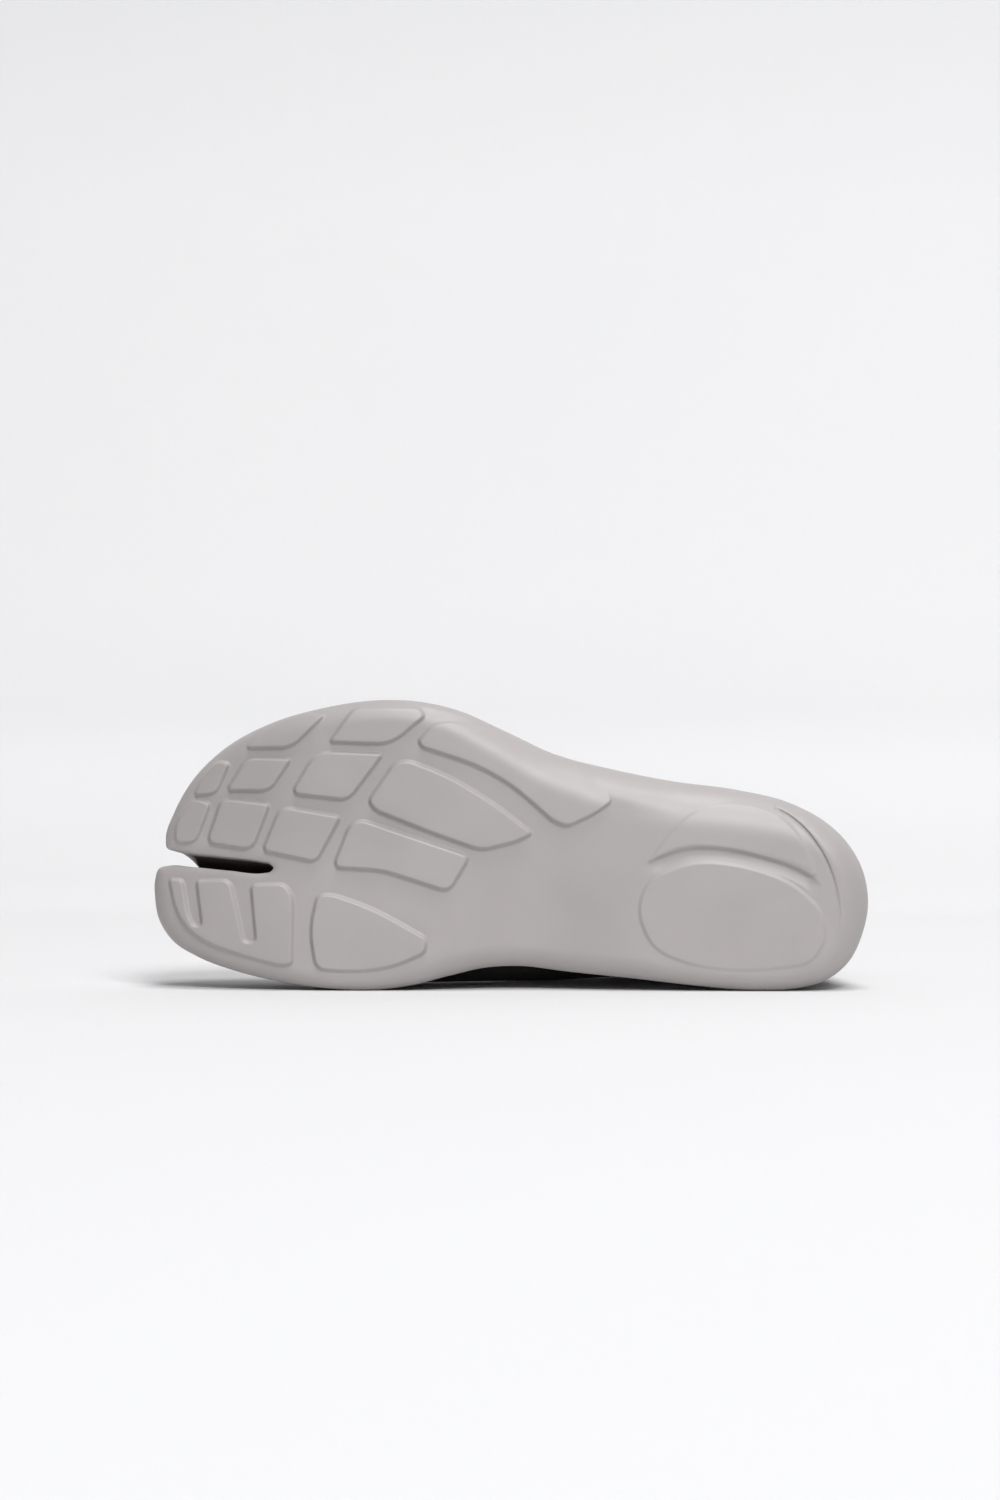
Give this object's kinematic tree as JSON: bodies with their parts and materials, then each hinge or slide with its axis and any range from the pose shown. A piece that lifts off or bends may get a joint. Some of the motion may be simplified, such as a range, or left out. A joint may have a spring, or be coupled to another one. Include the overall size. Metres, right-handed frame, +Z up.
{
  "type": "split-toe high-top sneaker",
  "caption": "Left split-toe high-top sneaker lying on its inner side: moulded cup sole with raised tread pads, plain hollow knit upper open at the collar, and an insole.",
  "frame": {"origin": "on the floor, under the middle of the lying shoe's box", "axes": "+X from toe to heel along the shoe, +Y from the tread towards the collar, +Z up from the floor, from the shoe's inner side to its outer side"},
  "size_m": [0.2752, 0.1342, 0.1115],
  "materials": {
    "sole_rubber": "matte moulded grey foam rubber",
    "upper_knit": "matte fine stretch knit, charcoal grey",
    "insole_cloth": "matte dark grey cloth over thin foam"
  },
  "bodies": {
    "root": {"sole": "sole_rubber", "upper": "upper_knit", "insole": "insole_cloth"}
  },
  "joints": []
}
